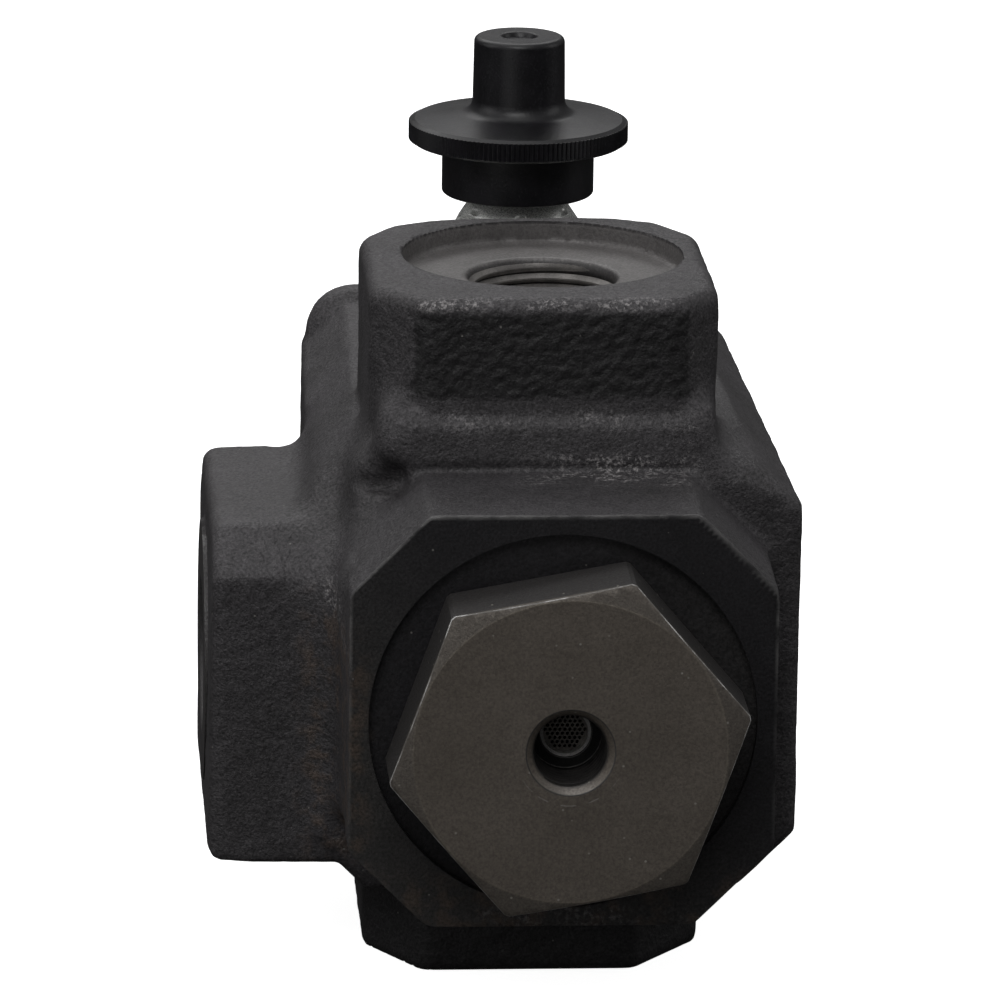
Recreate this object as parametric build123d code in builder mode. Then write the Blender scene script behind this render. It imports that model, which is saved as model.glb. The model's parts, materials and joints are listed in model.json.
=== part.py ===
import os
from math import cos, hypot, pi, radians, sin

from build123d import *

os.makedirs("parts", exist_ok=True)

# Three-port pressure-compensated flow control valve, in millimetres.
# X points right, Y from the front hex plug to the rear knob, Z up.
# The origin is the centre of the bottom port, on the bottom boss face.

# ---- shared axes and datum planes
BORE_Z = 51.0  # height of the main bore, which runs along Y
TOP_Z = 114.4  # machined top boss face
FRONT_Y = -59.0  # machined octagonal front face
KNOB_Y = 60.3  # the vertical throttle axis, behind the ports
SIDE_Z = 45.5  # height of the left port
SIDE_X = -56.5  # machined pad round the left port

# ---- casting
OCT_HALF, OCT_CUT, OCT_DRAFT = 34.5, 13.3, 1.3
BLOCK_FRONT_Y, BLOCK_REAR_Y = -34.5, 87.0
BLOCK_HALF_Z, BLOCK_CUT, BLOCK_LOW_CUT = 36.8, 8.0, 9.6
BLOCK_FRONT_X = (-40.0, 40.9)
BLOCK_REAR_X = (-36.5, 39.0)
HEAD_Y, HEAD_HALF_X, HEAD_HALF_Z, HEAD_CORNER = 76.5, 36.0, 37.9, 9.0
HEAD_BEVEL = 2.2
TOP_BOSS_PLAN = [
    (-21.3, -33.0), (20.5, -33.0), (27.4, -24.0), (27.4, 13.0), (21.5, 23.4), (14.0, 26.8),
    (6.0, 27.6), (-9.0, 27.4), (-18.0, 25.6), (-25.0, 21.3), (-30.0, 13.0), (-30.0, -23.0),
]
BOTTOM_BOSS_PLAN = [
    (-21.0, -33.0), (14.5, -33.0), (26.3, -18.5), (26.3, 14.0),
    (18.0, 27.0), (-20.0, 27.0), (-30.0, 13.0), (-30.0, -19.0),
]
BOSS_CORNER_R, BOSS_TOP_R, BOSS_FOOT_R = 4.0, 2.6, 0.9
PLINTH_X = (-29.7, 27.1)
PLINTH_SIDE = [(-34.9, 87.0), (-34.3, 93.6), (-31.6, 96.6), (-26.0, 96.6), (-26.0, 87.0)]
PLINTH_CORNER_R = 2.5
CORNER_CUT_X = -33.4  # left of this the block is cut away above the side boss bevel
CORNER_CUT_SIDE = [(-36.0, 66.4), (-25.0, 75.4), (-18.6, 80.6), (-12.0, 90.0), (-36.0, 90.0)]
POCKET_X = -24.0  # left of this a shallow pocket lies above the front boss
POCKET_SIDE = [(-36.0, 74.8), (-34.0, 76.0), (-30.5, 82.5), (-30.3, 90.0), (-36.0, 90.0)]
SIDE_BOSS_FRONT_Y, SIDE_BOSS_REAR_Y = -33.6, 33.4
SIDE_BOSS_BOTTOM_Z, SIDE_BOSS_TOP_Z = 18.7, 75.4
SIDE_BOSS_CUT_Y, SIDE_BOSS_CUT_Z = 8.6, 7.0
SIDE_BOSS_ROOT_X, SIDE_BOSS_END_X, SIDE_BOSS_DRAFT = -30.0, -56.4, 1.4
SIDE_BOSS_LEAN = 0.7  # how far the top of the boss's end leans in
SIDE_PAD_R = 22.5
CAST_R = 2.4
BONNET_BOSS_R, BONNET_BOSS_Z = 20.0, 92.0

# ---- ports
PORT_R, PORT_THREAD, PORT_MOUTH = 12.4, 20.0, 0.5
PORT_CORE_R = 11.0
TOP_SPOT_R, TOP_SPOT_DEPTH = 23.25, 4.0
FRONT_SPOT_R, FRONT_SPOT_DEPTH = 31.35, 1.8

# ---- main bore
PLUG_BORE_R, PLUG_BORE_END_Y = 20.65, -38.0
SPOOL_BORE_R, SPOOL_BORE_END_Y = 18.0, -13.0
CHAMBER_R, CHAMBER_END_Y = 15.5, 45.0
LINK_R, LINK_Z = 6.5, BORE_Z + 4.0

# ---- bypass and outlet galleries
BYPASS_BOX = (18.0, 41.0, 9.5)
BYPASS_BOX_AT = (0.0, -9.5, 23.8)
RISER_R, RISER_Y = 6.5, -23.0
GALLERY_BOX = (10.0, 66.0, 11.0)
GALLERY_BOX_AT = (-28.0, 33.0, 36.5)
CROSS_R, CROSS_Z = 5.0, 36.0

# ---- throttle bore
BONNET_BORE_R, BONNET_BORE_END_Z = 12.6, 76.5
SLEEVE_BORE_R, SLEEVE_SEAT_Z = 11.0, 43.0
SUMP_R, SUMP_Z = 9.3, 29.0

# ---- fits
THREAD_GAP = 0.1  # radial gap that stands for a thread's clearance
RUN_GAP = 0.05  # radial running clearance
SEAL_BEVEL = 2.0  # bevel at a bore mouth that holds a face seal ring

# ---- hex plug
HEX_FLATS, HEX_TURN = 50.8, 10.47
HEX_FRONT_Y, HEX_REAR_Y = -75.4, -61.4
HEX_FACE_R, HEX_FACE_DROP, HEX_BAR_R = 25.0, 0.9, 29.1
COLLAR_R, NECK_R, NECK_LENGTH = 24.0, 18.4, 3.0
PLUG_END_Y = -42.0
SPRING_POCKET_R, SPRING_POCKET_Y = 13.2, -50.0
PILOT_R, PILOT_MOUTH_R, PILOT_END_Y = 5.9, 7.1, -64.4
SCREEN_BORE_R, SCREEN_BORE_END_Y, PILOT_WAY_R = 4.15, -58.0, 3.0
PLUG_RING_R, PLUG_RING_SECTION_R = 19.6, 1.05

# ---- pilot screen
SCREEN_R, SCREEN_Y, SCREEN_THICK = 4.08, -62.6, 0.5
SCREEN_HOLE_R, SCREEN_HOLE_PITCH, SCREEN_FIELD_R = 0.27, 0.8, 3.3
RETAINER_R, RETAINER_INNER_R = 4.1, 3.62
RETAINER_Y = (-64.1, -62.7)

# ---- compensator
SPOOL_Y = (-35.0, -13.2)
SPOOL_CUP_R, SPOOL_END_WALL = 13.4, 6.0
SPOOL_GROOVES, SPOOL_GROOVE_PITCH, SPOOL_GROOVE_WIDTH, SPOOL_GROOVE_DEPTH = 3, 4.5, 0.8, 0.5
ORIFICE_R, ORIFICE_HOLE_R, ORIFICE_LENGTH, ORIFICE_SOCKET = 3.0, 0.5, 5.0, 3.0
SHIM_R, SHIM_INNER_R, SHIM_THICK = 13.0, 4.0, 1.0
SPRING_WIRE_R, SPRING_MEAN_R, SPRING_TURNS, SPRING_END_TURNS = 1.2, 11.3, 7.0, 1.0
SPRING_POINTS_PER_TURN = 16

# ---- throttle
SLEEVE_INNER_R, SLEEVE_TOP_Z, SLEEVE_WINDOW_R = 8.05, 71.0, 5.0
BARREL_TOP_Z, BARREL_BOTTOM_Z = 70.0, 44.0
BARREL_BORE_R, BARREL_BORE_TOP_Z = 5.6, 62.0
SHAFT_R, SHAFT_TOP_Z = 4.74, 120.5
METER_STEPS = [(40.0, 3.0), (130.0, 5.5), (220.0, 8.0)]
METER_STEP_TURN = 88.0
STOP_Z, STOP_PIN_R, STOP_GROOVE_R, STOP_GROOVE_HEIGHT = 66.0, 1.0, 6.5, 2.4
STOP_START, STOP_SPAN = -219.0, 318.0
THRUST_Z, THRUST_THICK, THRUST_R = 70.1, 1.0, 7.8

# ---- bonnet and gland
BONNET_FLATS, BONNET_HEX_Z = 31.75, (92.6, 100.0)
BONNET_FACE_R, BONNET_NECK_R, BONNET_NECK_LENGTH = 15.0, 10.8, 2.2
BONNET_THREAD_END_Z, BONNET_NOSE_R, BONNET_NOSE_Z = 78.0, 10.9, 71.3
BONNET_SPIGOT_R, BONNET_SPIGOT_Z = 7.9, 105.0
BONNET_BORE_CLEAR_R = 4.82
PACKING_R, PACKING_Z = 6.6, 101.0
BONNET_RING_R, BONNET_RING_SECTION_R = 11.9, 0.85
STEM_RING_R, STEM_RING_SECTION_R = 5.7, 0.84
BACKUP_Z, BACKUP_THICK = 103.0, 1.2
GLAND_FLATS, GLAND_Z, GLAND_ROOF_Z = 19.05, (100.4, 110.0), 105.6
GLAND_TOP_R, GLAND_CONE_DROP, GLAND_PUSH_Z = 7.9, 4.6, 104.3
GLAND_HOLE_R = 4.84

# ---- knob
KNOB_SKIRT_R, KNOB_SKIRT_Z = 13.2, 110.8
KNOB_DISC_R, KNOB_DISC_Z = 19.05, (119.8, 123.8)
KNURL_RIBS, KNURL_DEPTH, KNURL_RIM = 144, 0.35, 0.45
KNOB_CROWN, KNOB_RIM_R = 1.3, 18.0
KNOB_STUB_R, KNOB_STUB_TOP_R, KNOB_TOP_Z = 8.05, 7.85, 138.4
KNOB_STUB_FILLET, KNOB_TOP_FILLET, KNOB_EDGE_FILLET = 2.6, 1.0, 0.5
DIMPLE_R, DIMPLE_DEPTH = 3.1, 0.8
INSERT_R, INSERT_BORE_R, INSERT_TOP_Z = 6.4, 4.8, 121.0
SET_SCREW_R, SET_SCREW_Z, SET_SCREW_REACH = 2.0, 115.3, (4.9, 11.6)
SET_SCREW_TURNS = (60.0, 120.0)
SET_SCREW_SOCKET, SET_SCREW_SOCKET_DEPTH = 2.0, 2.2
FRICTION_Z, FRICTION_THICK, FRICTION_R = 110.1, 0.6, 7.6


def facing_front(y):
    """Plane at a given Y whose normal points to the front, with local x = X and local y = Z."""
    return Plane.XZ.offset(-y)


def facing_left(x):
    """Plane at a given X whose normal points left, with local x = -Y and local y = Z."""
    return Plane(origin=(x, 0, 0), x_dir=(0, -1, 0), z_dir=(-1, 0, 0))


def cut_corner_rect(x_low, x_high, half_z, cut, low_cut):
    """Corner points of a rectangle with 45 degree cut corners, centred on the main bore height."""
    low, high = BORE_Z - half_z, BORE_Z + half_z
    return [
        (x_low + low_cut, low), (x_high - low_cut, low), (x_high, low + low_cut), (x_high, high - cut),
        (x_high - cut, high), (x_low + cut, high), (x_low, high - cut), (x_low, low + low_cut),
    ]


def bore_axis():
    """Axis of the main bore, pointing to the rear."""
    return Axis((0, 0, BORE_Z), (0, 1, 0))


def throttle_axis():
    """Vertical axis of the knob and the throttle."""
    return Axis((0, KNOB_Y, 0), (0, 0, 1))


def along_bore(points):
    """Turn (y, radius) pairs into a profile above the main bore axis."""
    return [(y, BORE_Z + radius) for y, radius in points]


def up_throttle(points):
    """Turn (radius, z) pairs into a profile on the throttle axis, for the plane facing right."""
    return [(KNOB_Y + radius, z) for radius, z in points]


def radial_plane(turn):
    """Upright plane through the throttle axis, with local x outward at this angle and local y = Z."""
    outward = (cos(radians(turn)), sin(radians(turn)), 0)
    normal = (sin(radians(turn)), -cos(radians(turn)), 0)
    return Plane(origin=(0, KNOB_Y, 0), x_dir=outward, z_dir=normal)


def outward_plane(turn, radius, z):
    """Plane facing outward from the throttle axis at this angle, radius and height."""
    outward = (cos(radians(turn)), sin(radians(turn)), 0)
    origin = (radius * outward[0], KNOB_Y + radius * outward[1], z)
    return Plane(origin=origin, z_dir=outward)


def save(builder, name):
    """Label a finished piece and write it to its own file."""
    builder.part.label = name
    export_step(builder.part, f"parts/{name}.step")


# ---- casting outside

boss_root_y = BLOCK_FRONT_Y + 6.0
boss_growth = (boss_root_y - FRONT_Y) * sin(radians(OCT_DRAFT))
with BuildPart() as front_boss:
    with BuildSketch(facing_front(boss_root_y)):
        root_half = OCT_HALF + boss_growth
        Polygon(*cut_corner_rect(-root_half, root_half, root_half, OCT_CUT, OCT_CUT), align=None)
    extrude(amount=boss_root_y - FRONT_Y, taper=OCT_DRAFT)

with BuildPart() as block:
    for end_y, end_x, half_z in (
        (BLOCK_FRONT_Y, BLOCK_FRONT_X, BLOCK_HALF_Z), (BLOCK_REAR_Y, BLOCK_REAR_X, BLOCK_HALF_Z - 1.0),
    ):
        with BuildSketch(facing_front(end_y)):
            Polygon(*cut_corner_rect(*end_x, half_z, BLOCK_CUT, BLOCK_LOW_CUT), align=None)
    loft()
    fillet(block.faces().sort_by(Axis.Y)[0].edges(), radius=CAST_R)
    fillet(block.faces().sort_by(Axis.Y)[-1].edges(), radius=2 * CAST_R)
    for cut_x, cut_side in ((CORNER_CUT_X, CORNER_CUT_SIDE), (POCKET_X, POCKET_SIDE)):
        with BuildSketch(Plane.YZ.offset(cut_x)):
            Polygon(*cut_side, align=None)
        extrude(amount=-BLOCK_HALF_Z, mode=Mode.SUBTRACT)

with BuildPart() as rear_head:
    with BuildSketch(facing_front(BLOCK_REAR_Y)):
        with Locations((0, BORE_Z)):
            RectangleRounded(2 * HEAD_HALF_X, 2 * HEAD_HALF_Z, HEAD_CORNER)
    extrude(amount=BLOCK_REAR_Y - HEAD_Y)
    chamfer(rear_head.faces().sort_by(Axis.Y)[0].edges(), length=HEAD_BEVEL)
    fillet(rear_head.faces().sort_by(Axis.Y)[-1].edges(), radius=2 * CAST_R)

with BuildPart() as top_boss:
    with BuildSketch(Plane.XY.offset(BORE_Z)):
        Polygon(*TOP_BOSS_PLAN, align=None)
    extrude(amount=TOP_Z - BORE_Z)
    fillet(top_boss.edges().filter_by(Axis.Z), radius=BOSS_CORNER_R)
    fillet(top_boss.faces().sort_by(Axis.Z)[-1].edges(), radius=BOSS_TOP_R)

with BuildPart() as bottom_boss:
    with BuildSketch():
        Polygon(*BOTTOM_BOSS_PLAN, align=None)
    extrude(amount=BORE_Z)
    fillet(bottom_boss.edges().filter_by(Axis.Z), radius=BOSS_CORNER_R)
    fillet(bottom_boss.faces().sort_by(Axis.Z)[0].edges(), radius=BOSS_FOOT_R)

with BuildPart() as plinth:
    with BuildSketch(Plane.YZ.offset(PLINTH_X[0])):
        Polygon(*PLINTH_SIDE, align=None)
    extrude(amount=PLINTH_X[1] - PLINTH_X[0])
    for end in (plinth.faces().sort_by(Axis.X)[0], plinth.faces().sort_by(Axis.X)[-1]):
        front_edges = [edge for edge in end.edges() if edge.center().Y < PLINTH_SIDE[2][0]]
        fillet(front_edges, radius=PLINTH_CORNER_R)

side_profile = [
    (SIDE_BOSS_FRONT_Y, SIDE_BOSS_BOTTOM_Z),
    (SIDE_BOSS_FRONT_Y, SIDE_BOSS_TOP_Z - SIDE_BOSS_CUT_Z),
    (SIDE_BOSS_FRONT_Y + SIDE_BOSS_CUT_Y, SIDE_BOSS_TOP_Z),
    (SIDE_BOSS_REAR_Y - SIDE_BOSS_CUT_Y, SIDE_BOSS_TOP_Z),
    (SIDE_BOSS_REAR_Y, SIDE_BOSS_TOP_Z - SIDE_BOSS_CUT_Z),
    (SIDE_BOSS_REAR_Y, SIDE_BOSS_BOTTOM_Z),
]
with BuildPart() as side_boss:
    with BuildSketch(facing_left(SIDE_BOSS_ROOT_X)):
        Polygon(*[(-y, z) for y, z in side_profile], align=None)
    extrude(amount=SIDE_BOSS_ROOT_X - SIDE_BOSS_END_X, taper=SIDE_BOSS_DRAFT)
    with BuildSketch(Plane.XZ):
        Polygon(
            (SIDE_BOSS_END_X, SIDE_BOSS_BOTTOM_Z), (SIDE_BOSS_END_X + SIDE_BOSS_LEAN, SIDE_BOSS_TOP_Z),
            (2 * SIDE_BOSS_END_X, SIDE_BOSS_TOP_Z), (2 * SIDE_BOSS_END_X, SIDE_BOSS_BOTTOM_Z), align=None,
        )
    extrude(amount=SIDE_BOSS_REAR_Y + CAST_R, both=True, mode=Mode.SUBTRACT)
    fillet(side_boss.faces().sort_by(Axis.X)[0].edges(), radius=CAST_R)
    with BuildSketch(facing_left(SIDE_BOSS_END_X + 2.0)):
        with Locations((0, SIDE_Z)):
            Circle(SIDE_PAD_R)
    extrude(amount=SIDE_BOSS_END_X + 2.0 - SIDE_X)

with BuildPart() as bonnet_boss:
    with BuildSketch(Plane.XY.offset(BORE_Z)):
        with Locations((0, KNOB_Y)):
            Circle(BONNET_BOSS_R)
    extrude(amount=BONNET_BOSS_Z - BORE_Z)
    fillet(bonnet_boss.faces().sort_by(Axis.Z)[-1].edges(), radius=CAST_R)

# ---- casting with its machined bores

bore_profile = [
    (FRONT_Y, 0), (FRONT_Y, FRONT_SPOT_R), (FRONT_Y + FRONT_SPOT_DEPTH, FRONT_SPOT_R),
    (FRONT_Y + FRONT_SPOT_DEPTH, PLUG_BORE_R + SEAL_BEVEL),
    (FRONT_Y + FRONT_SPOT_DEPTH + SEAL_BEVEL, PLUG_BORE_R),
    (PLUG_BORE_END_Y, PLUG_BORE_R), (PLUG_BORE_END_Y, SPOOL_BORE_R),
    (SPOOL_BORE_END_Y, SPOOL_BORE_R), (SPOOL_BORE_END_Y, CHAMBER_R),
    (CHAMBER_END_Y, CHAMBER_R), (CHAMBER_END_Y, 0),
]
throttle_bore_profile = [
    (0, BONNET_BOSS_Z), (BONNET_BORE_R + SEAL_BEVEL, BONNET_BOSS_Z),
    (BONNET_BORE_R, BONNET_BOSS_Z - SEAL_BEVEL), (BONNET_BORE_R, BONNET_BORE_END_Z),
    (SLEEVE_BORE_R, BONNET_BORE_END_Z), (SLEEVE_BORE_R, SLEEVE_SEAT_Z),
    (SUMP_R, SLEEVE_SEAT_Z), (SUMP_R, SUMP_Z), (0, SUMP_Z),
]


def port_profile(mouth, inward, core_end):
    """Half section of a tapped port: bevel, thread wall and cored way, as (radius, position)."""
    wall_start = mouth + inward * PORT_MOUTH
    wall_end = mouth + inward * PORT_THREAD
    return [
        (0, mouth), (PORT_R + PORT_MOUTH, mouth), (PORT_R, wall_start), (PORT_R, wall_end),
        (PORT_CORE_R, wall_end), (PORT_CORE_R, core_end), (0, core_end),
    ]


top_floor_z = TOP_Z - TOP_SPOT_DEPTH
with BuildPart() as valve_body:
    add(block.part)
    add(rear_head.part)
    add(bonnet_boss.part)
    add(top_boss.part)
    add(bottom_boss.part)
    add(plinth.part)
    add(side_boss.part)
    add(front_boss.part)

    with BuildSketch(Plane.YZ):
        Polygon(*along_bore(bore_profile), align=None)
    revolve(axis=bore_axis(), mode=Mode.SUBTRACT)
    with BuildSketch(Plane.YZ):
        Polygon(*up_throttle(throttle_bore_profile), align=None)
    revolve(axis=throttle_axis(), mode=Mode.SUBTRACT)
    with BuildSketch(facing_front(CHAMBER_END_Y - 1.0)):
        with Locations((0, LINK_Z)):
            Circle(LINK_R)
    extrude(amount=-(KNOB_Y - CHAMBER_END_Y + 1.0), mode=Mode.SUBTRACT)

    with BuildSketch(Plane.XY.offset(TOP_Z)):
        Circle(TOP_SPOT_R)
    extrude(amount=-TOP_SPOT_DEPTH, mode=Mode.SUBTRACT)
    with BuildSketch(Plane.XZ):
        Polygon(*port_profile(top_floor_z, -1, BORE_Z), align=None)
    revolve(axis=Axis.Z, mode=Mode.SUBTRACT)
    with BuildSketch(Plane.XZ):
        Polygon(*port_profile(0, 1, BYPASS_BOX_AT[2]), align=None)
    revolve(axis=Axis.Z, mode=Mode.SUBTRACT)
    with BuildSketch(Plane.XY.offset(SIDE_Z)):
        side_port = port_profile(SIDE_X, 1, GALLERY_BOX_AT[0] + GALLERY_BOX[0] / 2)
        Polygon(*[(x, radius) for radius, x in side_port], align=None)
    revolve(axis=Axis((0, 0, SIDE_Z), (1, 0, 0)), mode=Mode.SUBTRACT)

    with Locations(BYPASS_BOX_AT):
        Box(*BYPASS_BOX, mode=Mode.SUBTRACT)
    with Locations((0, RISER_Y, (BYPASS_BOX_AT[2] + BORE_Z) / 2)):
        Cylinder(RISER_R, BORE_Z - BYPASS_BOX_AT[2], mode=Mode.SUBTRACT)
    with Locations(GALLERY_BOX_AT):
        Box(*GALLERY_BOX, mode=Mode.SUBTRACT)
    with BuildSketch(facing_left(0)):
        with Locations((-KNOB_Y, CROSS_Z)):
            Circle(CROSS_R)
    extrude(amount=-GALLERY_BOX_AT[0], mode=Mode.SUBTRACT)

save(valve_body, "valve_body")


# ---- hex plug and its pilot port

shank_r = PLUG_BORE_R - THREAD_GAP
seat_y = FRONT_Y + FRONT_SPOT_DEPTH
hex_length = HEX_REAR_Y - HEX_FRONT_Y
with BuildPart() as compensator_plug:
    with BuildSketch(facing_front(HEX_REAR_Y)):
        with Locations((0, BORE_Z)):
            RegularPolygon(HEX_FLATS / 2, 6, major_radius=False, rotation=HEX_TURN)
    extrude(amount=hex_length)
    with BuildSketch(Plane.YZ):
        Polygon(*along_bore([
            (HEX_REAR_Y, 0), (HEX_REAR_Y, HEX_BAR_R), (HEX_FRONT_Y + HEX_FACE_DROP, HEX_BAR_R),
            (HEX_FRONT_Y, HEX_FACE_R), (HEX_FRONT_Y, 0),
        ]), align=None)
    revolve(axis=bore_axis(), mode=Mode.INTERSECT)
    with BuildSketch(Plane.YZ):
        Polygon(*along_bore([
            (HEX_REAR_Y, 0), (HEX_REAR_Y, COLLAR_R), (seat_y, COLLAR_R), (seat_y, NECK_R),
            (seat_y + NECK_LENGTH, NECK_R), (seat_y + NECK_LENGTH, shank_r),
            (PLUG_END_Y, shank_r), (PLUG_END_Y, 0),
        ]), align=None)
    revolve(axis=bore_axis())
    with BuildSketch(Plane.YZ):
        Polygon(*along_bore([
            (HEX_FRONT_Y, 0), (HEX_FRONT_Y, PILOT_MOUTH_R),
            (HEX_FRONT_Y + PILOT_MOUTH_R - PILOT_R, PILOT_R), (PILOT_END_Y, PILOT_R),
            (PILOT_END_Y, SCREEN_BORE_R), (SCREEN_BORE_END_Y, SCREEN_BORE_R),
            (SCREEN_BORE_END_Y, PILOT_WAY_R), (SPRING_POCKET_Y, PILOT_WAY_R),
            (SPRING_POCKET_Y, SPRING_POCKET_R), (PLUG_END_Y, SPRING_POCKET_R), (PLUG_END_Y, 0),
        ]), align=None)
    revolve(axis=bore_axis(), mode=Mode.SUBTRACT)
save(compensator_plug, "compensator_plug")

with BuildPart() as plug_o_ring:
    with Locations(Location((0, seat_y + NECK_LENGTH / 2, BORE_Z), (90, 0, 0))):
        Torus(PLUG_RING_R, PLUG_RING_SECTION_R)
save(plug_o_ring, "plug_o_ring")

# holes in staggered rows, each row half a pitch across from the next
row_gap = SCREEN_HOLE_PITCH * sin(radians(60))
row_reach = int(SCREEN_FIELD_R / row_gap) + 1
screen_holes = []
for row in range(-row_reach, row_reach + 1):
    for column in range(-row_reach, row_reach + 1):
        across = (column + row % 2 / 2) * SCREEN_HOLE_PITCH
        if hypot(across, row * row_gap) < SCREEN_FIELD_R:
            screen_holes.append((across, BORE_Z + row * row_gap))
with BuildPart() as pilot_screen:
    with BuildSketch(facing_front(SCREEN_Y + SCREEN_THICK)):
        with Locations((0, BORE_Z)):
            Circle(SCREEN_R)
        with Locations(screen_holes):
            Circle(SCREEN_HOLE_R, mode=Mode.SUBTRACT)
    extrude(amount=SCREEN_THICK)
save(pilot_screen, "pilot_screen")

with BuildPart() as screen_retaining_ring:
    with BuildSketch(facing_front(RETAINER_Y[1])):
        with Locations((0, BORE_Z)):
            Circle(RETAINER_R)
            Circle(RETAINER_INNER_R, mode=Mode.SUBTRACT)
    extrude(amount=RETAINER_Y[1] - RETAINER_Y[0])
save(screen_retaining_ring, "screen_retaining_ring")

# ---- compensator

spool_r = SPOOL_BORE_R - RUN_GAP
floor_y = SPOOL_Y[1] - SPOOL_END_WALL
with BuildPart() as compensator_spool:
    with BuildSketch(Plane.YZ):
        Polygon(*along_bore([
            (SPOOL_Y[0], SPOOL_CUP_R), (SPOOL_Y[0], spool_r), (SPOOL_Y[1], spool_r),
            (SPOOL_Y[1], ORIFICE_R + RUN_GAP), (floor_y, ORIFICE_R + RUN_GAP),
            (floor_y, SPOOL_CUP_R),
        ]), align=None)
    revolve(axis=bore_axis())
    with BuildSketch(Plane.YZ):
        for index in range(SPOOL_GROOVES):
            groove_y = SPOOL_Y[0] + (index + 1) * SPOOL_GROOVE_PITCH
            with Locations((groove_y, BORE_Z + spool_r)):
                Rectangle(SPOOL_GROOVE_WIDTH, 2 * SPOOL_GROOVE_DEPTH)
    revolve(axis=bore_axis(), mode=Mode.SUBTRACT)
save(compensator_spool, "compensator_spool")

orifice_y = floor_y + (SPOOL_END_WALL - ORIFICE_LENGTH) / 2
with BuildPart() as damping_orifice:
    with BuildSketch(facing_front(orifice_y + ORIFICE_LENGTH)):
        with Locations((0, BORE_Z)):
            Circle(ORIFICE_R)
            Circle(ORIFICE_HOLE_R, mode=Mode.SUBTRACT)
    extrude(amount=ORIFICE_LENGTH)
    with BuildSketch(facing_front(orifice_y)):
        with Locations((0, BORE_Z)):
            RegularPolygon(ORIFICE_SOCKET / 2, 6, major_radius=False)
    extrude(amount=-ORIFICE_LENGTH / 2, mode=Mode.SUBTRACT)
save(damping_orifice, "damping_orifice")

shim_y = floor_y - THREAD_GAP
with BuildPart() as spring_shim:
    with BuildSketch(facing_front(shim_y)):
        with Locations((0, BORE_Z)):
            Circle(SHIM_R)
            Circle(SHIM_INNER_R, mode=Mode.SUBTRACT)
    extrude(amount=SHIM_THICK)
save(spring_shim, "spring_shim")

spring_start_y = SPRING_POCKET_Y + THREAD_GAP
spring_end_y = shim_y - SHIM_THICK - THREAD_GAP


def spring_rise(turn):
    """Distance the wire has advanced along the spring after this many turns."""
    length = spring_end_y - spring_start_y - SPRING_WIRE_R
    closed = 2 * SPRING_WIRE_R + THREAD_GAP
    pitch = (length - 2 * SPRING_END_TURNS * closed) / (SPRING_TURNS - 2 * SPRING_END_TURNS)
    if turn < SPRING_END_TURNS:
        return closed * turn
    if turn > SPRING_TURNS - SPRING_END_TURNS:
        return length - closed * (SPRING_TURNS - turn)
    return closed * SPRING_END_TURNS + pitch * (turn - SPRING_END_TURNS)


spring_points = []
for step in range(int(SPRING_TURNS * SPRING_POINTS_PER_TURN) + 1):
    turn = step / SPRING_POINTS_PER_TURN
    spring_points.append((
        SPRING_MEAN_R * cos(2 * pi * turn),
        spring_start_y + SPRING_WIRE_R / 2 + spring_rise(turn),
        BORE_Z + SPRING_MEAN_R * sin(2 * pi * turn),
    ))
with BuildPart() as compensator_spring:
    with BuildLine() as wire_path:
        Spline(*spring_points)
    with BuildSketch(Plane(origin=wire_path.line @ 0, z_dir=wire_path.line % 0)):
        Circle(SPRING_WIRE_R)
    sweep(path=wire_path.line)
    split(bisect_by=Plane.XZ.offset(-spring_start_y), keep=Keep.BOTTOM)
    split(bisect_by=Plane.XZ.offset(-spring_end_y), keep=Keep.TOP)
save(compensator_spring, "compensator_spring")

# ---- throttle sleeve, stop pin and stem

with BuildPart() as throttle_sleeve:
    with BuildSketch(Plane.YZ):
        Polygon(*up_throttle([
            (SLEEVE_INNER_R, SLEEVE_SEAT_Z + RUN_GAP), (SLEEVE_BORE_R - RUN_GAP, SLEEVE_SEAT_Z + RUN_GAP),
            (SLEEVE_BORE_R - RUN_GAP, SLEEVE_TOP_Z), (SLEEVE_INNER_R, SLEEVE_TOP_Z),
        ]), align=None)
    revolve(axis=throttle_axis())
    with BuildSketch(outward_plane(-90, 0, LINK_Z)):
        Circle(SLEEVE_WINDOW_R)
    extrude(amount=SLEEVE_BORE_R + 1, mode=Mode.SUBTRACT)
    with BuildSketch(outward_plane(90, 0, STOP_Z)):
        Circle(STOP_PIN_R)
    extrude(amount=SLEEVE_BORE_R + 1, mode=Mode.SUBTRACT)
save(throttle_sleeve, "throttle_sleeve")

with BuildPart() as throttle_stop_pin:
    with BuildSketch(outward_plane(90, STOP_GROOVE_R + 4 * RUN_GAP, STOP_Z)):
        Circle(STOP_PIN_R - RUN_GAP / 2)
    extrude(amount=SLEEVE_BORE_R - STOP_GROOVE_R - 6 * RUN_GAP)
save(throttle_stop_pin, "throttle_stop_pin")

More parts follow.
